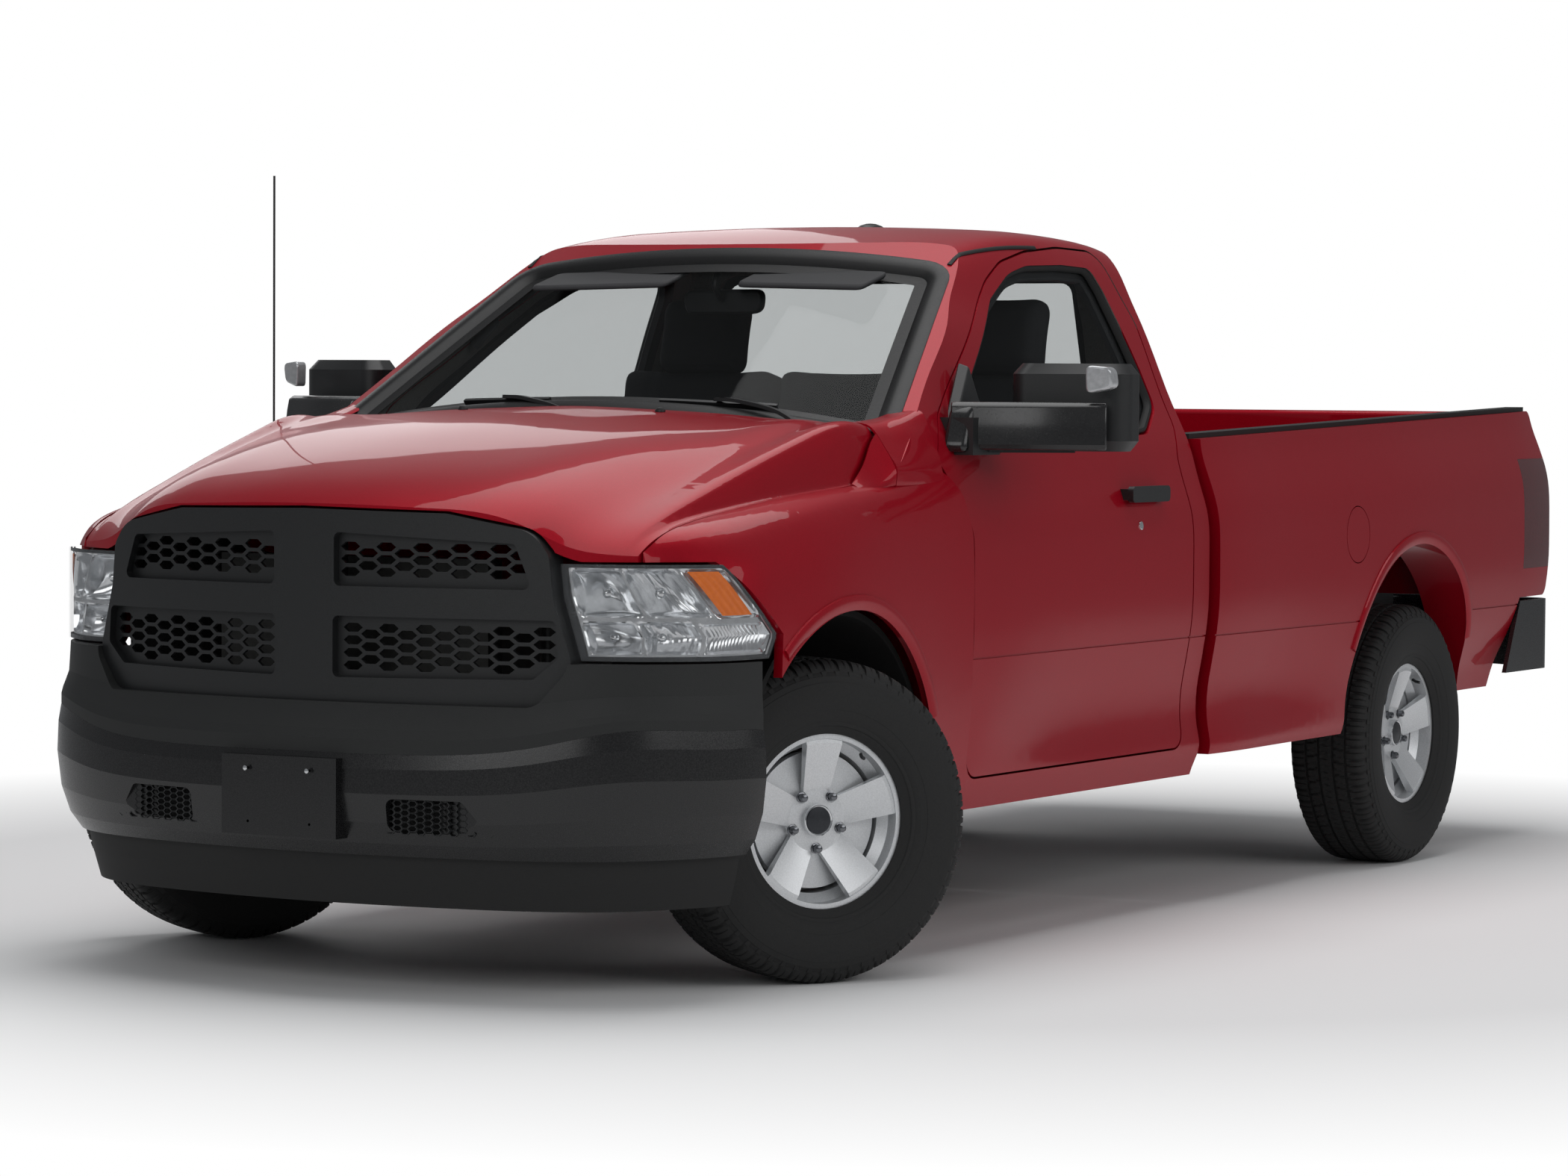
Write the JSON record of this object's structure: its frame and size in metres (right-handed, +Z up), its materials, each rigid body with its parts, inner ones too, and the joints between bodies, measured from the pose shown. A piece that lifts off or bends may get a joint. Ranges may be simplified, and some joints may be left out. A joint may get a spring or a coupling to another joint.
{
  "type": "pickup truck",
  "caption": "Full-size two-door pickup truck with a regular cab, long load bed, raised hood, hexagon-mesh grille, tow mirrors and steerable front wheels.",
  "frame": {"origin": "on the ground at the middle of the overall length and width", "axes": "+Z up, the truck faces -Y, +X to the driver's (left) side"},
  "size_m": [2.57, 5.867, 2.0049],
  "materials": {
    "body_paint": "gloss",
    "clear_glass": "gloss",
    "black_plastic": "satin",
    "lamp_lens": "gloss",
    "gloss_black": "gloss",
    "textured_black": "grained",
    "frame_steel": "satin",
    "cast_parts": "rough",
    "engine_metal": "cast",
    "radiator_metal": "satin",
    "exhaust_steel": "dull",
    "tyre_rubber": "matte",
    "interior_plastic": "grained",
    "seat_cloth": "woven",
    "tail_lens": "gloss",
    "antenna_steel": "satin",
    "alloy": "painted silver"
  },
  "bodies": {
    "root": {"cab_shell": "body_paint", "cab_glass": "clear_glass", "front_fenders": "body_paint", "wheel_liners": "black_plastic", "grille": "black_plastic", "headlamps": "lamp_lens", "front_bumper": "gloss_black", "bumper_cover": "textured_black", "air_dam": "textured_black", "frame": "frame_steel", "front_suspension": "cast_parts", "rear_suspension": "cast_parts", "engine": "engine_metal", "driveline": "engine_metal", "radiator": "radiator_metal", "exhaust": "exhaust_steel", "fuel_tank": "black_plastic", "spare_wheel": "tyre_rubber", "dashboard": "interior_plastic", "steering_wheel": "interior_plastic", "bench_seat": "seat_cloth", "bed_sides": "body_paint", "load_bed": "body_paint", "bed_rail_caps": "black_plastic", "tail_lamps": "tail_lens", "rear_bumper": "gloss_black", "antenna": "antenna_steel", "cowl_panel": "black_plastic"},
    "hood": {"hood": "body_paint"},
    "tailgate": {"tailgate": "body_paint"},
    "fuel_door": {"fuel_door": "body_paint"},
    "door_left": {"door_left": "body_paint", "door_glass_left": "clear_glass", "door_handle_left": "textured_black", "mirror_left": "textured_black"},
    "knuckle_left": {"knuckle_left": "cast_parts"},
    "wheel_front_left": {"rim_front_left": "alloy", "tyre_front_left": "tyre_rubber"},
    "wheel_rear_left": {"rim_rear_left": "alloy", "tyre_rear_left": "tyre_rubber"},
    "door_right": {"door_right": "body_paint", "door_glass_right": "clear_glass", "door_handle_right": "textured_black", "mirror_right": "textured_black"},
    "knuckle_right": {"knuckle_right": "cast_parts"},
    "wheel_front_right": {"rim_front_right": "alloy", "tyre_front_right": "tyre_rubber"},
    "wheel_rear_right": {"rim_rear_right": "alloy", "tyre_rear_right": "tyre_rubber"}
  },
  "joints": [
    {"name": "hood_hinge", "type": "hinge", "parent": "root", "child": "hood", "pos_m": [0, -1.5835, 1.402], "axis": [-1, 0, 0], "range_deg": [0, 50]},
    {"name": "door_left_hinge", "type": "hinge", "parent": "root", "child": "door_left", "pos_m": [0.99, -1.2835, 0.9], "axis": [0, 0, -1], "range_deg": [0, 65]},
    {"name": "door_right_hinge", "type": "hinge", "parent": "root", "child": "door_right", "pos_m": [-0.99, -1.2835, 0.9], "axis": [0, 0, 1], "range_deg": [0, 65]},
    {"name": "tailgate_hinge", "type": "hinge", "parent": "root", "child": "tailgate", "pos_m": [0, 2.7605, 0.87], "axis": [-1, 0, 0], "range_deg": [0, 90]},
    {"name": "fuel_door_hinge", "type": "hinge", "parent": "root", "child": "fuel_door", "pos_m": [1.012, 1.0585, 1.021], "axis": [0, 0, -1], "range_deg": [0, 100]},
    {"name": "steer_left", "type": "hinge", "parent": "root", "child": "knuckle_left", "pos_m": [0.851, -1.9285, 0.397], "axis": [0, 0, 1], "range_deg": [-6, 68]},
    {"name": "steer_right", "type": "hinge", "parent": "root", "child": "knuckle_right", "pos_m": [-0.851, -1.9285, 0.397], "axis": [0, 0, 1], "range_deg": [-6, 68]},
    {"name": "spin_front_left", "type": "hinge", "parent": "knuckle_left", "child": "wheel_front_left", "pos_m": [0.86814, -1.9388, 0.397], "axis": [0.8572, -0.515, 0], "continuous": true},
    {"name": "spin_front_right", "type": "hinge", "parent": "knuckle_right", "child": "wheel_front_right", "pos_m": [-0.86814, -1.9182, 0.397], "axis": [0.8572, -0.515, 0], "continuous": true},
    {"name": "spin_rear_left", "type": "hinge", "parent": "root", "child": "wheel_rear_left", "pos_m": [0.8635, 1.6405, 0.397], "axis": [1, 0, 0], "continuous": true},
    {"name": "spin_rear_right", "type": "hinge", "parent": "root", "child": "wheel_rear_right", "pos_m": [-0.8635, 1.6405, 0.397], "axis": [1, 0, 0], "continuous": true}
  ],
  "couplings": [
    {"joint": "steer_right", "follows": "steer_left", "ratio": 1}
  ]
}
